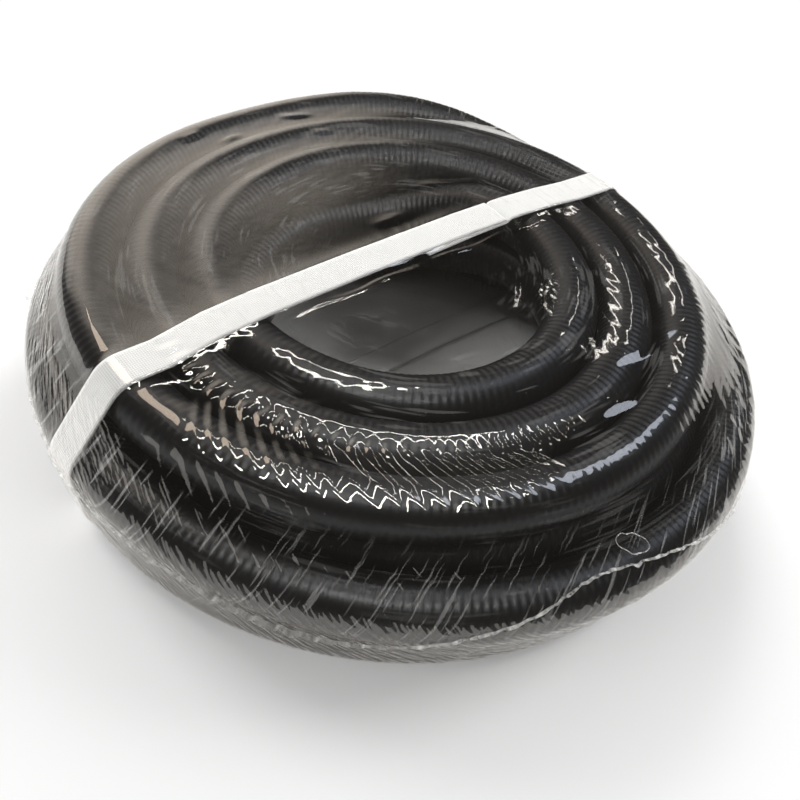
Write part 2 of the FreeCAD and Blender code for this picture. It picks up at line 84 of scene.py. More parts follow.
# %% Route: the turns and their steps
HOSE_D = 46.0
# heights of the three layers' middles, and how far the low and the top layer lie off centre
LOW, MID, TOP = 25.4, 69.4, 113.4
LOW_SHIFT = (-6.0, 0.0)
TOP_SHIFT = (-16.0, 3.0)
START, END = 106.0, 3850.0
START_RADIUS = 286.0
RADII = (
    (360, 430, 238), (720, 790, 190), (1060, 1140, 198), (1500, 1575, 246), (1870, 1945, 294),
    (2240, 2300, 252), (2560, 2670, 204), (2910, 3040, 156), (3290, 3360, 150), (3650, 3720, 142),
)
HEIGHTS = ((1050, 1125, MID), (2205, 2265, TOP), (3285, 3360, MID), (3640, 3720, LOW))
# where turns press each other aside or over a step: middle, half width and how far
DENTS = ((450, 55, -11), (810, 55, -9), (1150, 70, -21), (1490, 70, 19), (1850, 60, 8))
LIFTS = ((1905, 40, 10), (3510, 45, 8))
POINTS_PER_TURN = 24
WANDER = ((3.1, 0.5), (4.7, 0.4))  # no turn lies quite true: waves for each turn, and millimetres


def smooth(share):
    """From 0 to 1 with a soft start and a soft end."""
    share = np.clip(share, 0.0, 1.0)
    return share * share * (3.0 - 2.0 * share)


def stepped(start, steps, azimuth):
    """A value that goes from start through the steps as the azimuth grows."""
    result, current = np.full_like(azimuth, float(start)), start
    for first, last, goal in steps:
        result += (goal - current) * smooth((azimuth - first) / (last - first))
        current = goal
    return result


def bumped(values, bumps, azimuth):
    """The values with a soft bump added at each of these azimuths."""
    for middle, half, height in bumps:
        values = values + height * smooth(1.0 - np.abs(azimuth - middle) / half)
    return values


azimuth = np.arange(START, END, 360.0 / POINTS_PER_TURN)
radius = bumped(stepped(START_RADIUS, RADII, azimuth), DENTS, azimuth)
height = bumped(stepped(LOW, HEIGHTS, azimuth), LIFTS, azimuth)
rise = np.clip((height - LOW) / (MID - LOW), 0.0, 1.0)
high = np.clip((height - MID) / (TOP - MID), 0.0, 1.0)
# a quadratic spline runs inside its control points by the cosine of half their angle
reach = radius / math.cos(math.pi / POINTS_PER_TURN)
for often, size in WANDER:
    reach += size * np.sin(np.radians(azimuth * often))
turns = np.stack([
    LOW_SHIFT[0] * (1.0 - rise) + TOP_SHIFT[0] * high + reach * np.cos(np.radians(azimuth)),
    TOP_SHIFT[1] * high + reach * np.sin(np.radians(azimuth)),
    height,
], axis=1)
SWIVEL_END = ((-30, 280, 29.8), (-45, 280, 29.8), (-62, 279.6, 29.3))
CUFF_END = ((-46, -134, 27.0), (-30, -134, 27.0), (-14, -134, 27.0))
route = np.concatenate([np.array(SWIVEL_END, float), turns, np.array(CUFF_END, float)])
print("route points:", len(route))


# %% Route: one smooth spline through all the points
def spline_points(points):
    """Points close together on a smooth spline with these control points."""
    curve = bpy.data.curves.new("route", "CURVE")
    curve.dimensions = "3D"
    curve.resolution_u = 12
    spline = curve.splines.new("NURBS")
    spline.points.add(len(points) - 1)
    for spot, point in zip(points, spline.points):
        point.co = (*(spot * MM), 1.0)
    spline.order_u = 3
    spline.use_endpoint_u = True
    holder = bpy.data.objects.new("route", curve)
    mesh = bpy.data.meshes.new_from_object(holder)
    spots = np.empty(len(mesh.vertices) * 3)
    mesh.vertices.foreach_get("co", spots)
    bpy.data.objects.remove(holder)
    bpy.data.curves.remove(curve)
    bpy.data.meshes.remove(mesh)
    return spots.reshape(-1, 3)


def lengths_to(points):
    """How long the line through these points is, up to each of them."""
    steps = np.linalg.norm(np.diff(points, axis=0), axis=1)
    return np.concatenate([[0.0], np.cumsum(steps)])


line = spline_points(route)
along = lengths_to(line)
print(f"hose length {along[-1]:.2f} m, {len(line)} points")

# %% [markdown]
# ## The hose
# It is wound from a strip of black EVA whose overlap makes a rounded rib every 6 mm or so. The rib
# is a helix, so each row of the mesh is shifted a little further round. The wall is a plain grid
# rolled round the route, one grid a layer: four rows a rib, from groove to crest and back.

# %% Hose: a ribbed tube along a stretch of the route
RIB_PITCH = 6.2 * MM
# where on the rib each row lies, and how many millimetres below the crest
RIB_ROWS = ((0.0, 0.48), (0.25, 0.15), (0.5, 0.0), (0.75, 0.15))
AROUND = 24
LOOK_AHEAD = 4 * MM  # half the stretch of route that gives the hose its direction
END_ROOM = 5 * MM  # the hose keeps this far off the route's ends, so that there is a way ahead
HOSE_WELD = 1e-6  # points closer than this are made one


def piece_from(name, bm):
    """A smooth piece in the scene, made from this bmesh."""
    mesh = bpy.data.meshes.new(name)
    bm.to_mesh(mesh)
    bm.free()
    mesh.shade_smooth()
    piece = bpy.data.objects.new(name, mesh)
    bpy.context.scene.collection.objects.link(piece)
    return piece


def grid_mesh(rows, columns, place):
    """A mesh of rows by columns faces, each vertex put where place(row, column) says."""
    bm = bmesh.new()
    bm.loops.layers.uv.new("place")
    bmesh.ops.create_grid(bm, x_segments=columns, y_segments=rows, size=1.0, calc_uvs=True)
    spots = np.array([v.co[:2] for v in bm.verts])
    column = np.rint((spots[:, 0] + 1.0) * columns / 2.0)
    row = np.rint((spots[:, 1] + 1.0) * rows / 2.0)
    for vert, spot in zip(bm.verts, place(row, column)):
        vert.co = spot
    return bm


def closed_piece(name, rows, columns, place, weld):
    """A piece from a grid whose meeting points are welded, so that its ends close into a ring."""
    bm = grid_mesh(rows, columns, place)
    bmesh.ops.remove_doubles(bm, verts=bm.verts, dist=weld)
    bmesh.ops.recalc_face_normals(bm, faces=bm.faces)
    piece = piece_from(name, bm)
    print(name, len(piece.data.polygons), "faces")
    return piece


def on_route(distance):
    return np.stack([np.interp(distance, along, line[:, k]) for k in range(3)], axis=1)


def frames_at(distance):
    """Point, sideways and upward direction of the route at these distances."""
    here = on_route(distance)
    forward = on_route(distance + LOOK_AHEAD) - on_route(distance - LOOK_AHEAD)
    forward /= np.linalg.norm(forward, axis=1, keepdims=True)
    side = np.cross(forward, (0.0, 0.0, 1.0))
    side /= np.linalg.norm(side, axis=1, keepdims=True)
    return here, side, np.cross(side, forward)


def hose_stretch(name, first, last):
    """The ribbed wall between two distances along the route, closed round the hose."""
    ribs = int(round((last - first) / RIB_PITCH))
    rows_each = len(RIB_ROWS)
    share_of_rib = np.array([row[0] for row in RIB_ROWS])
    depths = np.array([row[1] for row in RIB_ROWS]) * MM

    def place(row, column):
        number = row.astype(int)
        turn = column / AROUND
        rib = number // rows_each + share_of_rib[number % rows_each] + turn
        distance = first + rib * RIB_PITCH
        here, side, up = frames_at(np.clip(distance, END_ROOM, along[-1] - END_ROOM))
        angle = (turn * 2.0 * math.pi)[:, None]
        out = side * np.cos(angle) + up * np.sin(angle)
        return here + out * (HOSE_D / 2 * MM - depths[number % rows_each])[:, None]

    print(name, f"{last - first:.2f} m,", ribs, "ribs")
    return closed_piece(name, ribs * rows_each, AROUND, place, HOSE_WELD)


# %% Hose: three layers, one piece each
# the azimuth that the route has turned through, where it climbs from one layer to the next
turned = np.degrees(np.unwrap(np.arctan2(line[:, 1], line[:, 0])))
CLIMB_MID, CLIMB_TOP = 1090.0, 2236.0
layer_ends = (0.0, float(np.interp(CLIMB_MID, turned, along)),
              float(np.interp(CLIMB_TOP, turned, along)), float(along[-1]))
LAYER_NODES = {
    "hose_low": ("hose_coil", "hose_outer_end"),
    "hose_mid": (),
    "hose_top": ("hose_inner_end",),
}
hoses = []
for (name, nodes), first, last in zip(LAYER_NODES.items(), layer_ends, layer_ends[1:]):
    hose = hose_stretch(name, first, last)
    inside = (along >= first) & (along <= last)
    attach(hose, COIL)
    if nodes:
        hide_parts(*nodes)
    hoses.append(hose)

# %% [markdown]
# ## The strap
# One band of white polyester webbing, drawn tight round the whole coil and welded to itself in a
# lap over the hole. It is a strip of plain grid: its length follows the belt line round the
# outermost turns, and Solidify gives it its thickness. Its UV map runs along and across the strip,
# so the weave can be drawn at its real size.

# %% Strap: the belt line round everything that it holds
STRAP_AZIMUTH = math.radians(48)
STRAP_OFFSET = 14 * MM
STRAP_WIDTH, STRAP_THICK = 31 * MM, 1.3 * MM
LAP_START, LAP_LENGTH = 11 * MM, 98 * MM
SEAT = 0.3 * MM
# what the belt is drawn round: a point in the middle of the coil, and where the lap starts above it
COIL_MIDDLE, LAP_RISE = 0.07, 0.066
ALONG = np.array((math.cos(STRAP_AZIMUTH), math.sin(STRAP_AZIMUTH)))
ACROSS = np.array((-math.sin(STRAP_AZIMUTH), math.cos(STRAP_AZIMUTH)))
FAN = np.radians(np.arange(-180.0, 180.0, 1.0))
FAN_OUT, FAN_UP = np.cos(FAN), np.sin(FAN)


def way_out(start, way, limits, fan_out=FAN_OUT, fan_up=FAN_UP):
    """How far from start, going this way, until the first of the fan's limits is met."""
    gain = way[0][..., None] * fan_out + way[1][..., None] * fan_up
    room = limits - (start[0][..., None] * fan_out + start[1][..., None] * fan_up)
    return np.where(gain > 1e-3, room / np.maximum(gain, 1e-3), np.inf).min(axis=-1)


def crossings(values, level):
    """Places on the route where a value passes a level."""
    before, after = values[:-1] - level, values[1:] - level
    hit = np.nonzero(before * after < 0)[0]
    share = before[hit] / (before[hit] - after[hit])
    return line[hit] + (line[hit + 1] - line[hit]) * share[:, None]


cuts = crossings(line[:, :2] @ ACROSS, STRAP_OFFSET)
held = (cuts[:, :2] @ ALONG)[:, None] * FAN_OUT + cuts[:, 2:] * FAN_UP
belt_limits = held.max(axis=0) + HOSE_D / 2 * MM + SEAT
look_round = np.radians(np.arange(0.0, -360.0, -0.25)) + math.atan2(LAP_RISE, LAP_START)
ways = (np.cos(look_round), np.sin(look_round))
middle = (np.zeros_like(look_round), np.full_like(look_round, COIL_MIDDLE))
far = way_out(middle, ways, belt_limits)
belt = np.stack([far * ways[0], COIL_MIDDLE + far * ways[1]], axis=1)
closed = np.concatenate([belt, belt[:1]])
belt_along = lengths_to(closed)
BELT = float(belt_along[-1])
STRAP_LENGTH = BELT + LAP_LENGTH
print(f"belt {BELT:.3f} m round, z {belt[:, 1].min():.4f} to {belt[:, 1].max():.4f}")

# %% Strap: the strip, with its lap and its slight bow
STRAP_ROWS, STRAP_COLUMNS = 1100, 10
# how the strap bows sideways: places along the belt line, and how far across
BOW_T = np.array((-235, -190, -145, -45, 70, 130, 170, 205, 240)) * MM
BOW_U = np.array((5.3, 13.0, 15.5, 16.4, 15.6, 13.0, 9.0, 3.5, 1.0)) * MM
# the lap's under end: how far on it fades out, how far below it lies and how far askew
LAP_MORE, LAP_FADE, LAP_GAP, LAP_ASKEW = 8 * MM, 10 * MM, 0.15 * MM, 4.0 * MM


def strap_middle(t):
    return np.interp(t, BOW_T, BOW_U)


def strap_place(row, column):
    travelled = row / STRAP_ROWS * STRAP_LENGTH
    across = (column / STRAP_COLUMNS - 0.5) * STRAP_WIDTH
    spot = np.mod(travelled, BELT)
    t = np.interp(spot, belt_along, closed[:, 0])
    z = np.interp(spot, belt_along, closed[:, 1])
    # the lap's under end lies one thickness lower and a little askew
    under = smooth((LAP_LENGTH + LAP_MORE - travelled) / LAP_FADE)
    z -= under * (STRAP_THICK + LAP_GAP)
    u = strap_middle(t) + across - under * LAP_ASKEW * (1.0 - travelled / (1.6 * LAP_LENGTH))
    return np.stack([t * ALONG[0] + u * ACROSS[0], t * ALONG[1] + u * ACROSS[1], z], axis=1)


bm = grid_mesh(STRAP_ROWS, STRAP_COLUMNS, strap_place)
bm.normal_update()
strap = piece_from("webbing_strap", bm)
outside_up = strap.data.polygons[STRAP_COLUMNS * 20].normal.z
band = strap.modifiers.new("band", "SOLIDIFY")
band.thickness = STRAP_THICK
band.offset = 1.0 if outside_up > 0 else -1.0
band.use_even_offset = False
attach(strap, COIL)
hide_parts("strap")
print("strap", len(strap.data.polygons), "faces,", f"{STRAP_LENGTH:.3f} m of webbing")

# %% [markdown]
# ## The shrink film
# A clear polyolefin film, shrunk with hot air until it is taut: it touches the hose only at the
# crests and runs straight between them. A cloth simulation could drape it, but that is slow. So its
# shape is worked out the way that the film finds it: it starts as the hull of the hoses at each
# azimuth, a spoke of the coil, and then it is drawn tight, again and again, while the hoses and the
# strap hold it out.

# %% Film: where the hoses reach at each azimuth
SPOKES = 840
NO_TURN_R = 0.2  # a turn that a spoke doesn't have is put here, deep inside the coil
spoke = np.radians(np.arange(SPOKES) * 360.0 / SPOKES)
spans = np.arange(math.ceil(turned[0] / 360.0) - 1, math.floor(turned[-1] / 360.0) + 1)
at = np.degrees(spoke)[:, None] + 360.0 * spans
there = (at >= turned[0]) & (at <= turned[-1])
turn_r = np.where(there, np.interp(at, turned, np.hypot(line[:, 0], line[:, 1])), NO_TURN_R)
turn_z = np.where(there, np.interp(at, turned, line[:, 2]), COIL_MIDDLE)

# %% Film: what the swivel cuff adds
# the cuff is thicker than the hose: eight hoses in a ring about its axis stand for it
CUFF_SIDE = (0.5, 2.6)  # the spokes, in radians, that can meet it
CUFF_ROOM, CUFF_ENDS = 0.8 * MM, 2 * MM
cuff_low, cuff_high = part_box("swivel_cuff")
cuff_y, cuff_z = (cuff_low[1] + cuff_high[1]) / 2, (cuff_low[2] + cuff_high[2]) / 2
cuff_more = (cuff_high[2] - cuff_low[2]) / 2 - HOSE_D / 2 * MM + CUFF_ROOM
beside_cuff = cuff_y / np.tan(np.clip(spoke, *CUFF_SIDE))
at_cuff = (spoke > CUFF_SIDE[0]) & (spoke < CUFF_SIDE[1])
at_cuff &= (beside_cuff > cuff_low[0] - CUFF_ENDS) & (beside_cuff < cuff_high[0] + CUFF_ENDS)
ring_of_hoses = np.radians(np.arange(0, 360, 45))
cuff_r = np.hypot(cuff_y, beside_cuff)[:, None] + cuff_more * np.cos(ring_of_hoses)
cuff_level = np.tile(cuff_z + cuff_more * np.sin(ring_of_hoses), (SPOKES, 1))
turn_r = np.concatenate([turn_r, np.where(at_cuff[:, None], cuff_r, NO_TURN_R)], axis=1)
turn_z = np.concatenate([turn_z, np.where(at_cuff[:, None], cuff_level, COIL_MIDDLE)], axis=1)
print("spokes that meet the cuff:", int(at_cuff.sum()))

# %% Film: how far out it is held
FILM_GAP = 0.35 * MM
HOLD = HOSE_D / 2 * MM + FILM_GAP
reached = turn_r[:, :, None] * FAN_OUT + turn_z[:, :, None] * FAN_UP
spoke_limits = reached.max(axis=1) + HOLD
outward = FAN_OUT > -1e-9

# %% Film: rays that the film moves along, fanned round the shoulder
HOLE_ROWS, RING_ROWS, SHOULDER_ROWS, SIDE_ROWS, BOTTOM_ROWS = 18, 45, 48, 8, 26
FLAT_ROWS = HOLE_ROWS + RING_ROWS
TOP_ROWS = FLAT_ROWS + SHOULDER_ROWS + SIDE_ROWS
HOLE_EDGE, SHOULDER_FROM, TOP_FROM = 85 * MM, 235 * MM, 100 * MM
SHOULDER_Z, SHOULDER_SIZE = 55 * MM, 45 * MM
SIDE_FROM, FOOT_Z, FOOT_IN = 280 * MM, 25 * MM, 20 * MM
# the sheets part at a height that wavers a little round the coil
seam_z = 36 * MM + 5 * MM * np.sin(spoke * 2.0 + 0.6) + 3 * MM * np.sin(spoke * 5.0 + 2.0)
seam_z = np.clip(seam_z, 28 * MM, 46 * MM)


def film_rays():
    """Start and direction of every ray, by spoke and row, from the middle of the top downwards."""
    out, up, way = [], [], []
    flat = np.concatenate([np.linspace(0.0, HOLE_EDGE, HOLE_ROWS, endpoint=False),
                           np.linspace(HOLE_EDGE, SHOULDER_FROM, RING_ROWS, endpoint=False)])
    out.append(np.tile(flat, (SPOKES, 1)))
    up.append(np.full((SPOKES, FLAT_ROWS), TOP_FROM))
    way.append(np.full((SPOKES, FLAT_ROWS), 90.0))
    fan = np.linspace(90.0, 0.0, SHOULDER_ROWS, endpoint=False)
    out.append(np.tile(SHOULDER_FROM + SHOULDER_SIZE * np.cos(np.radians(fan)), (SPOKES, 1)))
    up.append(np.tile(SHOULDER_Z + SHOULDER_SIZE * np.sin(np.radians(fan)), (SPOKES, 1)))
    way.append(np.tile(fan, (SPOKES, 1)))
    share = np.linspace(0.0, 1.0, SIDE_ROWS + 1)
    out.append(np.full((SPOKES, SIDE_ROWS + 1), SIDE_FROM))
    up.append(SHOULDER_Z + (seam_z[:, None] - SHOULDER_Z) * share)
    way.append(np.zeros((SPOKES, SIDE_ROWS + 1)))
    fan = np.linspace(0.0, -90.0, BOTTOM_ROWS + 1)[1:]
    low = (seam_z - FOOT_Z)[:, None]
    out.append(np.tile(SIDE_FROM - FOOT_IN * (1 - np.cos(np.radians(fan))), (SPOKES, 1)))
    up.append(FOOT_Z + low * (1.0 + np.sin(np.radians(fan))))
    way.append(np.tile(fan, (SPOKES, 1)))
    way = np.radians(np.concatenate(way, axis=1))
    return np.concatenate(out, axis=1), np.concatenate(up, axis=1), np.cos(way), np.sin(way)


ray_out, ray_up, way_r, way_z = film_rays()
FLOOR = 0.25 * MM
STRAP_GAP = 0.3 * MM
taut = np.stack([
    way_out((ray_out[k], ray_up[k]), (way_r[k], way_z[k]), spoke_limits[k][outward],
            FAN_OUT[outward], FAN_UP[outward]) for k in range(SPOKES)])
gap_r = turn_r[:, None, :] - ray_out[:, :, None]
gap_z = turn_z[:, None, :] - ray_up[:, :, None]
ahead = gap_r * way_r[:, :, None] + gap_z * way_z[:, :, None]
inside = HOLD ** 2 - (gap_r ** 2 + gap_z ** 2 - ahead ** 2)
stop = np.where(inside > 0, ahead + np.sqrt(np.maximum(inside, 0.0)), -1.0).max(axis=2)
unit = np.stack([np.cos(spoke), np.sin(spoke)], axis=1)
strap_start = ((unit @ ALONG)[:, None] * ray_out, ray_up)
strap_way = ((unit @ ALONG)[:, None] * way_r, way_z)
strap_stop = way_out(strap_start, strap_way, belt_limits + STRAP_THICK + STRAP_GAP)

# %% Film: drawn tight over what holds it out
SINK, HOLE_SINK = 4.6, 0.6  # how strongly it curves inwards on the ring and over the hole, in 1/m
FEW_ROUNDS, ROUNDS, LOOK_AGAIN = 60, 240, 10
LEAST_GAP, BESIDE_STRAP = 0.5 * MM, 0.6 * MM
STEP = 0.9  # each round moves a point most of the way to where its neighbours pull it


def film_spots(height):
    """Where the film's points are when each has gone this far along its ray."""
    r = ray_out + height * way_r
    return np.stack([r * unit[:, :1], r * unit[:, 1:], ray_up + height * way_z], axis=2)


def suction():
    """How strongly the film is curved inwards between the crests, one over metres."""
    r = np.where(way_z > 0.99, ray_out, 0.3)
    over_hole = 1.0 - smooth((r - 90 * MM) / (40 * MM))
    on_top = way_z ** 2 * (way_z > 0)
    uneven = 1.0 + 0.35 * np.sin(spoke * 3.0 + 1.0) + 0.25 * np.sin(spoke * 7.0 + 2.5)
    return (SINK * on_top * (1.0 - over_hole) + HOLE_SINK * over_hole) * uneven[:, None]


def drawn_tight(height, rounds):
    """The heights after so many rounds in which each point follows its four neighbours."""
    pressed = suction()
    ways = np.stack([way_r * unit[:, :1], way_r * unit[:, 1:], way_z], axis=2)
    lowest = np.where(way_z < -0.05, (ray_up - FLOOR) / np.maximum(-way_z, 0.05), np.inf)
    for number in range(rounds):
        spots = film_spots(height)
        if number % LOOK_AGAIN == 0:
            gap = np.linalg.norm(spots - np.roll(spots, 1, axis=0), axis=2)
            round_pull = 1.0 / np.maximum(gap, LEAST_GAP) ** 2
            gap = np.linalg.norm(np.diff(spots, axis=1), axis=2)
            down_pull = 1.0 / np.maximum(gap, LEAST_GAP) ** 2
            across = spots[:, :, :2] @ ACROSS - strap_middle(spots[:, :, :2] @ ALONG)
            least = np.where(np.abs(across) < STRAP_WIDTH / 2 + BESIDE_STRAP,
                             np.maximum(stop, strap_stop), stop)
        pull = round_pull[:, :, None] * (np.roll(spots, 1, axis=0) - spots)
        pull += np.roll(round_pull, -1, axis=0)[:, :, None] * (np.roll(spots, -1, axis=0) - spots)
        total = round_pull + np.roll(round_pull, -1, axis=0)
        step = down_pull[:, :, None] * np.diff(spots, axis=1)
        pull[:, :-1] += step
        pull[:, 1:] -= step
        total[:, :-1] += down_pull
        total[:, 1:] += down_pull
        moved = height + STEP * ((pull * ways).sum(axis=2) - 2.0 * pressed) / total
        height = np.minimum(np.maximum(moved, least), lowest)
        height[:, 0] = height[:, 0].mean()
    return height


film_height = drawn_tight(np.maximum(taut, stop), ROUNDS)
film = film_spots(film_height)
valley = np.abs(ray_out[0] - 228 * MM).argmin()
sinks = film[:, :valley, 2].max() - film[:, valley, 2].mean()
print("the film sinks", round(float(sinks / MM), 1), "mm")

# %% [markdown]
# ### Wrinkles
# The heat gathers the film where it has length to spare: in puckers along a crest, in a row of
# stitches round the shoulder, and in long slanted folds down the front. Each is a wave across its
# own stretch, added outwards, so that the film never cuts into the hose.

# %% Wrinkles: helpers
# where each point lies as seen from the middle of the top turns, and how far down the film it is
MEAN_RADIUS = 0.24
top_middle_x, top_middle_y = TOP_SHIFT[0] * MM, TOP_SHIFT[1] * MM
ring_x, ring_y = film[:, :, 0] - top_middle_x, film[:, :, 1] - top_middle_y
ring_r = np.hypot(ring_x, ring_y)
ring_azimuth = np.degrees(np.arctan2(ring_y, ring_x))
down = np.concatenate([np.zeros((SPOKES, 1)), np.cumsum(
    np.linalg.norm(np.diff(film, axis=1), axis=2), axis=1)], axis=1)


def bump(value, middle, half):
    """1 in the middle, 0 from half away, smooth between."""
    return smooth(1.0 - np.abs(value - middle) / half)


def arc(first, last, fade):
    """1 between two azimuths, fading to 0 outside, for azimuths that run on past 180."""
    middle, half = (first + last) / 2.0, (last - first) / 2.0
    away = np.abs(np.mod(ring_azimuth - middle + 180.0, 360.0) - 180.0)
    return smooth((half + fade - away) / fade)


def waves(length, seed, waver=0.8):
    """A wave along a line, by distance in metres; its pitch wavers a little."""
    def wave(distance):
        turns = distance / length
        slow = np.sin(distance * 37.0 + seed) + 0.6 * np.sin(distance * 91.0 + 2.0 * seed)
        return 0.5 + 0.5 * np.sin(2.0 * math.pi * turns + waver * slow + seed)
    return wave


round_way = np.radians(ring_azimuth) * MEAN_RADIUS
patchy = 0.55 + 0.3 * np.sin(round_way * 61.0 + 1.0) + 0.25 * np.sin(round_way * 143.0 + 0.3)

# %% Wrinkles: puckers, stitches and folds
SHOULDER_Z_LEAST = 0.09  # what belongs to the top stays above this height
PUCKER_RADIUS, COARSE_HIGH, FINE_HIGH = 219 * MM, 1.5, 0.9
STITCH_RADIUS, STITCH_HIGH = 267 * MM, 1.0
FOLD_HIGH, STREAK_HIGH, UNEVEN_HIGH = 1.3, 0.5, 0.10
on_top = film[:, :, 2] > SHOULDER_Z_LEAST
folds = np.zeros_like(film_height)
# puckers on the outer slope of the second turn, wide at the left and fine at the right
coarse, fine = waves(14 * MM, 1.0), waves(8 * MM, 2.0)
left = smooth((-70.0 - ring_azimuth) / 20.0)
pucker = left * COARSE_HIGH * coarse(round_way) + (1.0 - left) * FINE_HIGH * fine(round_way)
folds += MM * pucker * bump(ring_r, PUCKER_RADIUS, 10 * MM) * arc(-128, -48, 8)
# stitches round the shoulder of the top layer's outer turn
shoulder = bump(ring_r, STITCH_RADIUS, 16 * MM) * on_top
stitches = waves(9 * MM, 3.0)(round_way) * patchy
folds += STITCH_HIGH * MM * stitches * shoulder * arc(-112, 12, 10)
# long folds that run slantwise down the front
slant = round_way - 0.9 * (down - 0.2)
across_front = smooth((down - 0.205) / 0.02) * smooth((0.33 - down) / 0.03)
folds += FOLD_HIGH * MM * waves(15 * MM, 5.0, 1.5)(slant) ** 2 * across_front * arc(-112, -60, 7)
# a few slanted streaks on the rest of the side
streaks = waves(19 * MM, 7.0, 2.2)(round_way + 0.5 * down) ** 4 * np.clip(patchy, 0, 1)
folds += STREAK_HIGH * MM * streaks * smooth((down - 0.27) / 0.03)

# %% Wrinkles: single ridges, where the film bridges something
# x and y of the middle, direction, length, width and height, in millimetres and degrees
RIDGES = (
    (16, -1, 46.5, 390, 9, 1.3), (20, 126, 28, 95, 17, 2.2), (-28, 47, 40, 55, 13, 1.6),
    (206, -38, 49, 165, 20, 2.2), (190, -62, 44, 120, 14, 1.5), (83, -20, 92, 105, 9, 1.0),
    (242, 72, 15, 30, 14, 1.6), (-232, 118, 70, 34, 12, 1.8), (-196, 128, 62, 40, 12, 1.6),
    (-150, 196, 35, 45, 14, 1.8), (-118, 176, 30, 30, 10, 1.4), (168, -130, 40, 60, 16, 2.0),
)
for x, y, way, long, wide, high_by in RIDGES:
    way_x, way_y = math.cos(math.radians(way)), math.sin(math.radians(way))
    from_x, from_y = film[:, :, 0] - x * MM, film[:, :, 1] - y * MM
    lengthwise, sideways = from_x * way_x + from_y * way_y, from_y * way_x - from_x * way_y
    wander_by = 1.5 * MM * np.sin(lengthwise * 95.0 + x)
    ridge = bump(lengthwise, 0.0, long * MM / 2) * bump(sideways + wander_by, 0.0, wide * MM / 2)
    folds += high_by * MM * ridge * on_top
# a light unevenness everywhere but in the middle, where the rows meet
unevenness = waves(31 * MM, 11.0, 2.0)(round_way + 1.3 * down)
folds += UNEVEN_HIGH * MM * unevenness * smooth((ring_r - 0.12) / 0.05)
film = film_spots(film_height + folds)
print("film rows", film.shape[1], "top", round(float(film[:, :, 2].max()), 4),
      "widest", round(float(np.hypot(film[:, :, 0], film[:, :, 1]).max()), 4))

# %% Film: the two sheets, parted at the seam
FILM_WELD = 1e-7
UNDER_ROWS = 14


def film_sheet(name, spots):
    """A sheet through these points, by spoke and row."""
    def place(row, column):
        return spots[np.mod(column.astype(int), SPOKES), row.astype(int)]
    return closed_piece(name, spots.shape[1] - 1, SPOKES, place, FILM_WELD)


top_film = film_sheet("film_top_sheet", film[:, :TOP_ROWS + 1])
foot = film[:, -1:, :]
inwards = np.linspace(1.0, 0.0, UNDER_ROWS)[1:][None, :, None]
under_side = foot * inwards * (1, 1, 0) + (0, 0, FLOOR)
bottom = np.concatenate([film[:, TOP_ROWS:], under_side], axis=1)
bottom_film = film_sheet("film_bottom_sheet", bottom)

# %% [markdown]
# ### The film's seam and its vent
# The two sheets are welded together with a hot wire, which leaves a thin raised edge on the side.
# It runs level at the back, dips and crumples at the front left and climbs at the front right. At
# the far left a corner of film was left standing. A small oval vent let the air out.

# %% Film: the welded seam
# azimuth in degrees and height in millimetres
SEAM_HEIGHTS = ((-180, 55), (-130, 62), (-108, 64), (-98, 54), (-87, 53), (-77, 74), (-58, 96),
                (-42, 88), (-25, 66), (40, 50), (120, 46), (180, 55))
SMOOTHINGS = 60
CRUMPLE_AZIMUTH, CORNER_AZIMUTH, CORNER_LENGTH = -99.0, -173.0, 19 * MM
FIN_ROWS, FIN_GAP = 4, 0.2 * MM
seam_azimuth = np.mod(np.degrees(spoke) + 180.0, 360.0) - 180.0
seam_line = np.interp(seam_azimuth, *np.array(SEAM_HEIGHTS, float).T) * MM
for number in range(SMOOTHINGS):
    seam_line = (np.roll(seam_line, 1) + seam_line + np.roll(seam_line, -1)) / 3.0
crumpled = bump(seam_azimuth, CRUMPLE_AZIMUTH, 15.0)
crinkle = 0.6 * np.sin(spoke * 137 + 1.0) + 0.4 * np.sin(spoke * 223 + 2.0)
seam_line += MM * (0.4 + 3.2 * crumpled) * crinkle
fin_width = MM * (2.0 + 2.4 * crumpled + 0.5 * np.sin(spoke * 97))
fin_width += CORNER_LENGTH * bump(seam_azimuth, CORNER_AZIMUTH, 8.0)


def on_side(column, level):
    """The film's radius at these spokes and heights."""
    side_z = film[:, FLAT_ROWS:, 2]
    side_r = np.hypot(film[:, FLAT_ROWS:, 0], film[:, FLAT_ROWS:, 1])
    return np.array([np.interp(-z, -side_z[k], side_r[k]) for k, z in zip(column, level)])


def seam_place(row, column):
    k = np.mod(column.astype(int), SPOKES)
    share = row / FIN_ROWS
    r = on_side(k, seam_line[k]) + FIN_GAP + share * fin_width[k]
    z = seam_line[k] + share * MM * (0.8 * np.sin(spoke[k] * 171.0) - 0.4)
    return np.stack([r * unit[k, 0], r * unit[k, 1], z], axis=1)


# %% Film: the vent's rim, a thin bead round an oval
VENT_AZIMUTH, VENT_LONG, VENT_HIGH = math.radians(-50.5), 14 * MM, 4.5 * MM
VENT_RISE, VENT_SLOPE = 8 * MM, 0.18
BEAD, BEAD_GAP = 0.45 * MM, 0.3 * MM
VENT_ROWS, BEAD_COLUMNS = 48, 8
SIDE_RADIUS = 0.31


def vent_place(row, column):
    turn = row / VENT_ROWS * 2.0 * math.pi
    roll = column / BEAD_COLUMNS * 2.0 * math.pi
    along_ring = VENT_LONG * np.cos(turn)
    angle = VENT_AZIMUTH + along_ring / SIDE_RADIUS
    k = np.mod(np.rint(angle / (2 * math.pi) * SPOKES).astype(int), SPOKES)
    level = seam_line[k] + VENT_RISE + VENT_HIGH * np.sin(turn) - VENT_SLOPE * along_ring
    r = on_side(k, level) + BEAD_GAP + BEAD * np.cos(roll)
    level = level + BEAD * np.sin(roll)
    return np.stack([r * np.cos(angle), r * np.sin(angle), level], axis=1)


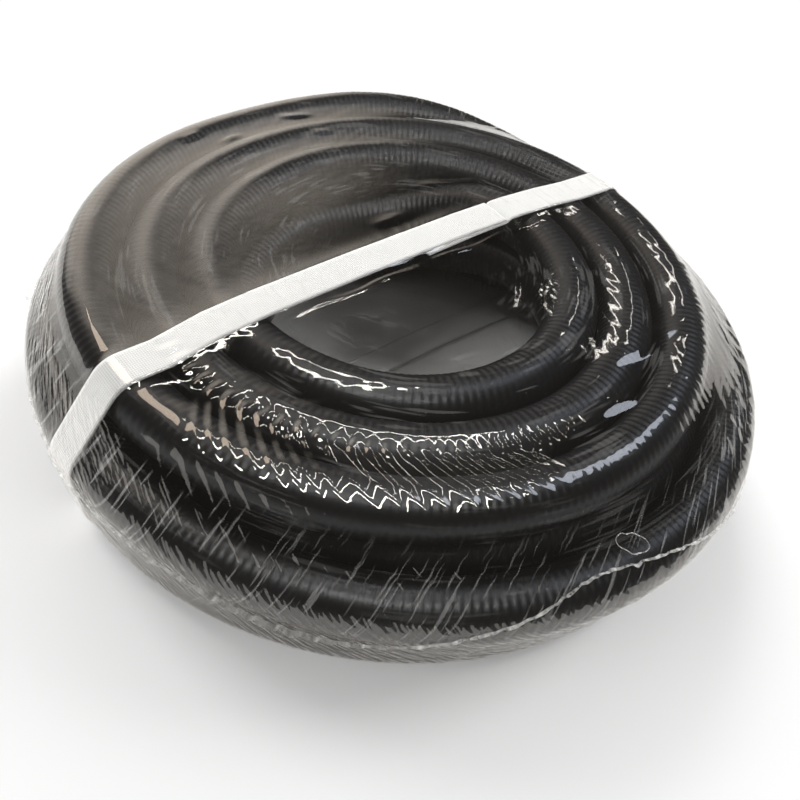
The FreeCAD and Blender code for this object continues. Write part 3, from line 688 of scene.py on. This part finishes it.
film_seam = closed_piece("film_seam", FIN_ROWS, SPOKES, seam_place, FILM_WELD)
film_vent = closed_piece("film_vent_rim", VENT_ROWS, BEAD_COLUMNS, vent_place, FILM_WELD)
for piece in (film_seam, film_vent):
    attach(piece, COIL)
print(f"seam from {seam_line.min():.3f} to {seam_line.max():.3f} m high")

# %% [markdown]
# ### What the sheets were before they shrank
# Each sheet is taken to have been cut nearly round. How far such a film shrinks is a guess, and so
# are these sizes. The table lists the seam and the vent with the top sheet, though nothing below
# reads that list or the sizes.

# %% Film: what the two sheets are
# the flat cut's width in metres, and its flat area with the corners off
FILM_CUTS = (
    (top_film, "film_top", 0.86, 0.58, [film_seam, film_vent]),
    (bottom_film, "film_bottom", 0.78, 0.46, []),
)
for sheet, node, cut, flat_area, on_it in FILM_CUTS:
    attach(sheet, COIL)
    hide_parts(node)
print("film sheets:", len(FILM_CUTS))

# %% [markdown]
# ## Finishes
# Colours are written as the eye reads them and turned to linear light by one function. One more
# function adds a node with its settings and links. Each finish below is named for what it is.

# %% Finishes: helpers
def linear(code):
    """An sRGB hex colour as linear light, with full alpha."""
    parts = [int(code[k:k + 2], 16) / 255.0 for k in (1, 3, 5)]
    lit = [c / 12.92 if c <= 0.04045 else ((c + 0.055) / 1.055) ** 2.4 for c in parts]
    return (*lit, 1.0)


def add(material, kind, values=None, links=None, **settings):
    """Adds a shader node with settings, socket values and links, each from a node or its socket."""
    node = material.node_tree.nodes.new("ShaderNode" + kind)
    for key, setting in settings.items():
        setattr(node, key, setting)
    for key, socket_value in (values or {}).items():
        node.inputs[key].default_value = socket_value
    for key, source in (links or {}).items():
        socket = source.outputs[0] if isinstance(source, bpy.types.Node) else source
        material.node_tree.links.new(socket, node.inputs[key])
    return node


def new_material(name):
    material = bpy.data.materials.new(name)
    material.use_nodes = True
    material.node_tree.nodes.clear()
    return material


def finish_with(material, shader):
    """Puts the shader on the material's surface."""
    output = add(material, "OutputMaterial")
    material.node_tree.links.new(shader.outputs[0], output.inputs["Surface"])
    return material

# %% [markdown]
# ### Extruded EVA
# Soft black plastic straight from the die: half gloss, with a faint unevenness that breaks up the
# highlights, and a breath of dust that lifts the black a little.

# %% Finish: extruded EVA
eva = new_material("extruded_eva")
place = add(eva, "TexCoord")
grain = add(eva, "TexNoise", {"Scale": 900.0, "Detail": 3.0}, {"Vector": place.outputs["Object"]})
cloud = add(eva, "TexNoise", {"Scale": 14.0, "Detail": 2.0}, {"Vector": place.outputs["Object"]})
tone = add(eva, "Mix", {"A": linear("#08080a"), "B": linear("#131315")},
           {"Factor": cloud.outputs["Fac"]}, data_type="RGBA")
gloss = add(eva, "MapRange", {"To Min": 0.30, "To Max": 0.45}, {"Value": cloud.outputs["Fac"]})
dents = add(eva, "Bump", {"Strength": 0.15, "Distance": 0.3 * MM},
            {"Height": grain.outputs["Fac"]})
finish_with(eva, add(eva, "BsdfPrincipled", {"Specular IOR Level": 0.5}, {
    "Base Color": tone.outputs[2], "Roughness": gloss, "Normal": dents}))
for hose in hoses:
    hose.data.materials.append(eva)

# %% [markdown]
# ### Woven polyester
# A close plain weave: thick warp cords run along the strap, and the weft passes over and under
# them. Sines over the strap's own length and width, both in metres, draw one cord after the other.

# %% Finish: woven polyester
CORD_PITCH, WEFT_PITCH = 1.9 * MM, 1.7 * MM
WEAVE_DEPTH, YARN_DEPTH = 0.45 * MM, 0.2 * MM
webbing = new_material("woven_polyester")
on_strap = add(webbing, "UVMap", uv_map="place")
laid = add(webbing, "VectorMath", {1: (STRAP_WIDTH, STRAP_LENGTH, 0.0)},
           {0: on_strap}, operation="MULTIPLY")
parts = add(webbing, "SeparateXYZ", {}, {0: laid})


def wave_of(material, source, pitch):
    """A sine that passes nought once every pitch."""
    phase = add(material, "Math", {1: math.pi / pitch}, {0: source}, operation="MULTIPLY")
    return add(material, "Math", {}, {0: phase}, operation="SINE")


warp = wave_of(webbing, parts.outputs[0], CORD_PITCH)
weft = wave_of(webbing, parts.outputs[1], WEFT_PITCH)
crossing = add(webbing, "Math", {}, {0: warp, 1: weft}, operation="MULTIPLY")
raised = add(webbing, "Math", {}, {0: crossing}, operation="ABSOLUTE")
bulge = add(webbing, "Math", {1: 0.5}, {0: raised}, operation="POWER")
fuzz = add(webbing, "TexNoise", {"Scale": 1800.0, "Detail": 2.0}, {"Vector": laid})
weave = add(webbing, "Bump", {"Strength": 0.7, "Distance": WEAVE_DEPTH}, {"Height": bulge})
yarns = add(webbing, "Bump", {"Strength": 0.2, "Distance": YARN_DEPTH},
            {"Height": fuzz.outputs["Fac"], "Normal": weave})
# painted shade: the white is painted darker in the weave's hollows and lighter on its raised
# crossings
weave_painted_shade_tone = add(webbing, "Mix", {"A": linear("#d9d9d6"), "B": linear("#fbfbfa")},
                 {"Factor": bulge}, data_type="RGBA")
finish_with(webbing, add(webbing, "BsdfPrincipled", {"Roughness": 0.6, "Sheen Weight": 0.2}, {
    "Base Color": weave_painted_shade_tone.outputs[2], "Normal": yarns}))
strap.data.materials.append(webbing)

# %% [markdown]
# ### Shrunk polyolefin
# Clear film: a mirror of the room where the light grazes it, and nearly nothing where it faces us.
# Where it shrank most it went milky, in fine streaks round the coil, and on the side it is crazed
# with small slanted wrinkles. Both follow the film's own directions, not the view.

# %% Finish: shrunk polyolefin, the film's own directions
shrunk = new_material("shrunk_polyolefin")
place = add(shrunk, "TexCoord")
xyz = add(shrunk, "SeparateXYZ", {}, {0: place.outputs["Object"]})
flat_spot = add(shrunk, "VectorMath", {1: (1.0, 1.0, 0.0)}, {0: place.outputs["Object"]},
                operation="MULTIPLY")
ring_way = add(shrunk, "VectorMath", {}, {0: flat_spot}, operation="NORMALIZE")
ring_out = add(shrunk, "VectorMath", {}, {0: flat_spot}, operation="LENGTH")
ring_down = add(shrunk, "Math", {}, {0: ring_out.outputs["Value"], 1: xyz.outputs[2]},
                operation="SUBTRACT")


def streaks_round(turns, fineness, detail=2.0):
    """Noise drawn out round the coil: so many cells a turn, so many cells a metre across."""
    across = add(shrunk, "CombineXYZ", {}, {2: ring_down})
    fine = add(shrunk, "VectorMath", {1: (0.0, 0.0, fineness)}, {0: across}, operation="MULTIPLY")
    cells = turns / 6.28
    spread = add(shrunk, "VectorMath", {1: (cells, cells, 0.0), 2: (0.0, 0.0, 0.0)},
                 {0: ring_way, 2: fine}, operation="MULTIPLY_ADD")
    return add(shrunk, "TexNoise", {"Scale": 1.0, "Detail": detail}, {"Vector": spread})


def slanted(scale, turn, kind, settings, **options):
    """A texture drawn out along one slanted direction."""
    laid = add(shrunk, "Mapping", {"Rotation": (0.0, math.radians(turn), 0.0), "Scale": scale},
               {"Vector": place.outputs["Object"]}, vector_type="TEXTURE")
    return add(shrunk, kind, settings, {"Vector": laid}, **options)


# %% Finish: shrunk polyolefin, where it went milky
RING_HAZE, SIDE_HAZE = 0.05, 0.22  # how much of the surface the milky streaks cover at most
broad, hair = streaks_round(20.0, 45.0), streaks_round(26.0, 330.0, 1.0)
milk = add(shrunk, "Math", {}, {0: broad.outputs["Fac"], 1: hair.outputs["Fac"]},
           operation="MULTIPLY")
off_middle = add(shrunk, "MapRange", {"From Min": 0.05, "From Max": 0.13},
                 {"Value": ring_out.outputs["Value"]}, interpolation_type="SMOOTHSTEP")
streaky = add(shrunk, "MapRange", {
    "From Min": 0.30, "From Max": 0.38, "To Min": 0.002, "To Max": RING_HAZE},
    {"Value": milk}, interpolation_type="SMOOTHSTEP")
round_haze = add(shrunk, "Math", {}, {0: streaky, 1: off_middle}, operation="MULTIPLY")
side_hair = slanted((0.045, 0.045, 0.0022), -58, "TexNoise", {"Scale": 1.0, "Detail": 1.0})
side_lines = add(shrunk, "MapRange", {
    "From Min": 0.60, "From Max": 0.68, "To Min": 0.0, "To Max": SIDE_HAZE},
    {"Value": side_hair.outputs["Fac"]}, interpolation_type="SMOOTHSTEP")
below_top = add(shrunk, "MapRange", {"From Min": 0.15, "From Max": 0.19}, {"Value": ring_down})
side_haze = add(shrunk, "Math", {}, {0: side_lines, 1: below_top}, operation="MULTIPLY")
haze = add(shrunk, "Math", {}, {0: round_haze, 1: side_haze}, operation="ADD")

# %% Finish: shrunk polyolefin, its wrinkles: soft waves everywhere, and fine crazing in patches
SOFT_DEPTH, CRAZE_DEPTH = 0.3 * MM, 1.2 * MM
soft_waves = streaks_round(48.0, 60.0, 2.0)
crazing = slanted((0.016, 0.016, 0.0035), 40, "TexVoronoi", {"Scale": 1.0}, feature="F1")
where = add(shrunk, "TexNoise", {"Scale": 9.0, "Detail": 2.0},
            {"Vector": place.outputs["Object"]})
on_the_side = add(shrunk, "MapRange", {
    "From Min": 0.14, "From Max": 0.19, "To Min": -0.35, "To Max": 0.16},
    {"Value": ring_down})
chance = add(shrunk, "Math", {}, {0: where.outputs["Fac"], 1: on_the_side}, operation="ADD")
patch = add(shrunk, "MapRange", {"From Min": 0.50, "From Max": 0.68},
            {"Value": chance}, interpolation_type="SMOOTHSTEP")
crazed = add(shrunk, "Math", {}, {0: crazing.outputs["Distance"], 1: patch}, operation="MULTIPLY")
soft_height = add(shrunk, "Math", {}, {0: soft_waves.outputs["Fac"], 1: off_middle},
                  operation="MULTIPLY")
soft_bump = add(shrunk, "Bump", {"Strength": 1.0, "Distance": SOFT_DEPTH},
                {"Height": soft_height})
fine_bump = add(shrunk, "Bump", {"Strength": 1.0, "Distance": CRAZE_DEPTH},
                {"Height": crazed, "Normal": soft_bump})

# %% Finish: shrunk polyolefin, clear or milky inside and a mirror outside
# so thin a film mirrors alike from both sides: the share is worked out from the angle alone
MIRROR_FACING, MIRROR_GRAZING, MIRROR_RISE = 0.09, 0.95, 4.2
clear = add(shrunk, "BsdfTransparent", {"Color": (0.985, 0.985, 0.985, 1.0)})
cloudy = add(shrunk, "BsdfDiffuse", {"Color": linear("#f4f4f2")}, {"Normal": soft_bump})
body_of_film = add(shrunk, "MixShader", {}, {0: haze, 1: clear, 2: cloudy})
skin = add(shrunk, "BsdfPrincipled", {
    "Base Color": linear("#fffaf2"), "Roughness": 0.05, "Metallic": 1.0},
    {"Normal": fine_bump})
aslant = add(shrunk, "LayerWeight", {"Blend": 0.5}, {"Normal": fine_bump})
grazing = add(shrunk, "Math", {1: MIRROR_RISE}, {0: aslant.outputs["Facing"]}, operation="POWER")
sheen = add(shrunk, "MapRange", {"To Min": MIRROR_FACING, "To Max": MIRROR_GRAZING},
            {"Value": grazing})
finish_with(shrunk, add(shrunk, "MixShader", {}, {0: sheen, 1: body_of_film, 2: skin}))
for sheet in (top_film, bottom_film):
    sheet.data.materials.append(shrunk)

# %% [markdown]
# ### The welded edge
# Where the hot wire passed, the film ran together into a thicker, milky bead. It is clear in places
# and white in others, so a noise shares it out between a clear and a milky shader.

# %% Finish: welded film edge
weld = new_material("welded_film_edge")
weld_clear = add(weld, "BsdfTransparent")
weld_milk = add(weld, "BsdfPrincipled", {"Base Color": linear("#efeeea"), "Roughness": 0.25})
beads = add(weld, "TexNoise", {"Scale": 260.0, "Detail": 2.0},
            {"Vector": add(weld, "TexCoord").outputs["Object"]})
solid_share = add(weld, "MapRange", {
    "From Min": 0.35, "From Max": 0.65, "To Min": 0.25, "To Max": 0.85},
    {"Value": beads.outputs["Fac"]})
finish_with(weld, add(weld, "MixShader", {}, {0: solid_share, 1: weld_clear, 2: weld_milk}))
for piece in (film_seam, film_vent):
    piece.data.materials.append(weld)

# %% [markdown]
# ### Cuffs, ring and washer
# The frame brings these as they are. The cuffs and the sleeve are moulded from soft black plastic
# with a fine spark texture, the ring is a slicker dark plastic, and the washer is plain rubber.

# %% Finish: moulded parts
def moulded(name, dark, light, rough, grain_scale, grain_height):
    """A moulded finish: two tones, a roughness that wavers, and a spark grain of this height."""
    material = new_material(name)
    place = add(material, "TexCoord")
    cloud = add(material, "TexNoise", {"Scale": 30.0, "Detail": 3.0},
                {"Vector": place.outputs["Object"]})
    grain = add(material, "TexNoise", {"Scale": grain_scale, "Detail": 2.0},
                {"Vector": place.outputs["Object"]})
    tone = add(material, "Mix", {"A": linear(dark), "B": linear(light)},
               {"Factor": cloud.outputs["Fac"]}, data_type="RGBA")
    gloss = add(material, "MapRange", {"To Min": rough - 0.08, "To Max": rough + 0.08},
                {"Value": cloud.outputs["Fac"]})
    spark = add(material, "Bump", {"Strength": 0.3, "Distance": grain_height},
                {"Height": grain.outputs["Fac"]})
    return finish_with(material, add(material, "BsdfPrincipled", {}, {
        "Base Color": tone.outputs[2], "Roughness": gloss, "Normal": spark}))


cuff_finish = moulded("moulded_eva", "#0c0c0d", "#17171a", 0.5, 1500.0, 0.2 * MM)
FINISHES = {
    "swivel_cuff": cuff_finish, "fixed_cuff": cuff_finish, "swivel_sleeve": cuff_finish,
    "swivel_ring": moulded("moulded_acetal", "#232427", "#2f3034", 0.32, 800.0, 0.05 * MM),
    "swivel_washer": moulded("cut_rubber", "#141414", "#1f1f1f", 0.75, 1100.0, 0.2 * MM),
}
for node, material in FINISHES.items():
    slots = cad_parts[node].data.materials
    slots.clear()
    slots.append(material)
print("finishes:", len(bpy.data.materials))

# %% [markdown]
# ## The floor
# A sheet of white paper that catches the shadow. Paper lit by the lamps alone would look grey, so
# away from the coil it turns to plain white, but only for rays that look at it, straight, mirrored
# or through glass. It throws no more light on the coil than paper does.

# %% Stage: the floor
FLOOR_HALF = 6.0
WHITE_FROM, WHITE_TO, WHITE_SHARE = 0.20, 0.55, 0.98
bm = bmesh.new()
bmesh.ops.create_grid(bm, x_segments=1, y_segments=1, size=FLOOR_HALF)
floor = piece_from("floor", bm)
paper = new_material("white_paper")
sheet_of_paper = add(paper, "BsdfPrincipled", {"Base Color": linear("#fafafa"), "Roughness": 0.9})
spot = add(paper, "TexCoord")
far_out = add(paper, "VectorMath", {}, {0: spot.outputs["Object"]}, operation="LENGTH")
beyond = add(paper, "MapRange", {
    "From Min": WHITE_FROM, "From Max": WHITE_TO, "To Max": WHITE_SHARE},
    {"Value": far_out.outputs["Value"]}, interpolation_type="SMOOTHSTEP")
ray = add(paper, "LightPath")
seen = add(paper, "Math", {}, {
    0: ray.outputs["Is Camera Ray"], 1: ray.outputs["Is Glossy Ray"]}, operation="MAXIMUM")
seen_too = add(paper, "Math", {}, {
    0: seen, 1: ray.outputs["Is Transmission Ray"]}, operation="MAXIMUM")
share = add(paper, "Math", {}, {0: seen_too, 1: beyond}, operation="MULTIPLY")
white = add(paper, "Emission", {"Strength": 1.0})
finish_with(paper, add(paper, "MixShader", {}, {0: share, 1: sheet_of_paper, 2: white}))
floor.data.materials.append(paper)
print("floor", 2 * FLOOR_HALF, "m wide")

# %% [markdown]
# ## The room
# A dim room with one pale wall behind, low down, which the film over the top turns mirrors. That
# veil is most of what shows the film there. Past the floor's edge the eye sees white, straight or
# through glass, but a mirrored ray keeps the dim room: a film that mirrors white hides the hose.

# %% Stage: the room
WALL_AZIMUTH, WALL_RISE = math.radians(124), math.radians(18)
WALL_FADE, WALL_HALF = math.radians(33), math.radians(12)
DIM, PALE = 0.07, 1.45
studio = bpy.data.worlds.new("studio")
bpy.context.scene.world = studio
studio.use_nodes = True
room = add(studio, "TexCoord")
PALE_WALL = Vector((math.cos(WALL_AZIMUTH), math.sin(WALL_AZIMUTH), math.tan(WALL_RISE)))
facing_wall = add(studio, "VectorMath", {1: PALE_WALL.normalized()},
                  {0: room.outputs["Generated"]}, operation="DOT_PRODUCT")
glow = add(studio, "MapRange", {
    "From Min": math.cos(WALL_FADE), "From Max": math.cos(WALL_HALF),
    "To Min": DIM, "To Max": PALE},
    {"Value": facing_wall.outputs["Value"]}, interpolation_type="SMOOTHSTEP")
light_from_room = studio.node_tree.nodes["Background"]
light_from_room.inputs["Color"].default_value = linear("#fff8f0")
studio.node_tree.links.new(glow.outputs[0], light_from_room.inputs["Strength"])
white_wall = add(studio, "Background", {"Color": (1.0, 1.0, 1.0, 1.0), "Strength": 1.0})
sight = add(studio, "LightPath")
straight = add(studio, "Math", {}, {
    0: sight.outputs["Is Camera Ray"], 1: sight.outputs["Is Transmission Ray"]},
    operation="MAXIMUM")
seen_wall = add(studio, "MixShader", {}, {0: straight, 1: light_from_room, 2: white_wall})
studio.node_tree.links.new(seen_wall.outputs[0],
                           studio.node_tree.nodes["World Output"].inputs["Surface"])
print("room glow from", DIM, "to", PALE)

# %% [markdown]
# ## The lamps
# Low, broad fills light the hose under the film, and the film doesn't mirror them. Two windows and
# four narrow tubes do the reverse: they light nothing, and are there for the film to mirror as the
# bright lines and loops that tell the eye it is clear and taut.

# %% Stage: the lamps
AIM_HEIGHT = 0.12


def softbox(name, azimuth, elevation, distance, width, height, brightness, roll=0.0,
            tint="#ffffff"):
    """A lamp panel that faces the coil. Its brightness is that of the panel, where 1 is white."""
    light = bpy.data.lights.new(name, "AREA")
    light.shape = "RECTANGLE"
    light.size, light.size_y = width, height
    light.energy = brightness * math.pi * width * height
    light.color = linear(tint)[:3]
    lamp = bpy.data.objects.new(name, light)
    bpy.context.scene.collection.objects.link(lamp)
    a, e = math.radians(azimuth), math.radians(elevation)
    way = Vector((math.cos(a) * math.cos(e), math.sin(a) * math.cos(e), math.sin(e)))
    turn = (-way).to_track_quat("-Z", "Y").to_matrix().to_4x4()
    turn = turn @ Matrix.Rotation(math.radians(roll), 4, "Z")
    turn.translation = Vector((0, 0, AIM_HEIGHT)) + way * distance
    lamp.matrix_world = turn
    print(name, f"{light.energy:.1f} W")
    return lamp


FILL_DISTANCE, FILL_WIDTH, FILL_HEIGHT = 2.0, 0.8, 0.5
# azimuth, elevation and brightness
FILLS = ((90, 30, 34), (20, 30, 20), (160, 30, 22), (-150, 12, 13), (-30, 12, 7))
# azimuth, elevation, distance, width, height and brightness, then roll and tint where they matter
MIRRORED = {
    "right_window": (35, 50, 2.0, 0.7, 0.7, 4.0, 0.0, "#dfeaff"),
    "left_window": (155, 50, 2.0, 0.7, 0.7, 4.0, 0.0, "#ffeedd"),
    "tube_high": (90, 84, 1.7, 1.3, 0.06, 34.0),
    "tube_front": (-90, 66, 1.7, 1.2, 0.09, 40.0),
    "tube_back": (92, 60, 1.9, 1.1, 0.03, 24.0),
    "tube_right": (70.5, 36.5, 2.0, 0.20, 0.03, 9.0, -45),
}
for number, (way, rise_by, brightness) in enumerate(FILLS):
    fill = softbox(f"low_fill_{number}", way, rise_by, FILL_DISTANCE, FILL_WIDTH, FILL_HEIGHT,
                   brightness)
    fill.visible_glossy = False
for name, setting in MIRRORED.items():
    softbox(name, *setting).visible_diffuse = False
bpy.context.scene.view_settings.view_transform = "Standard"
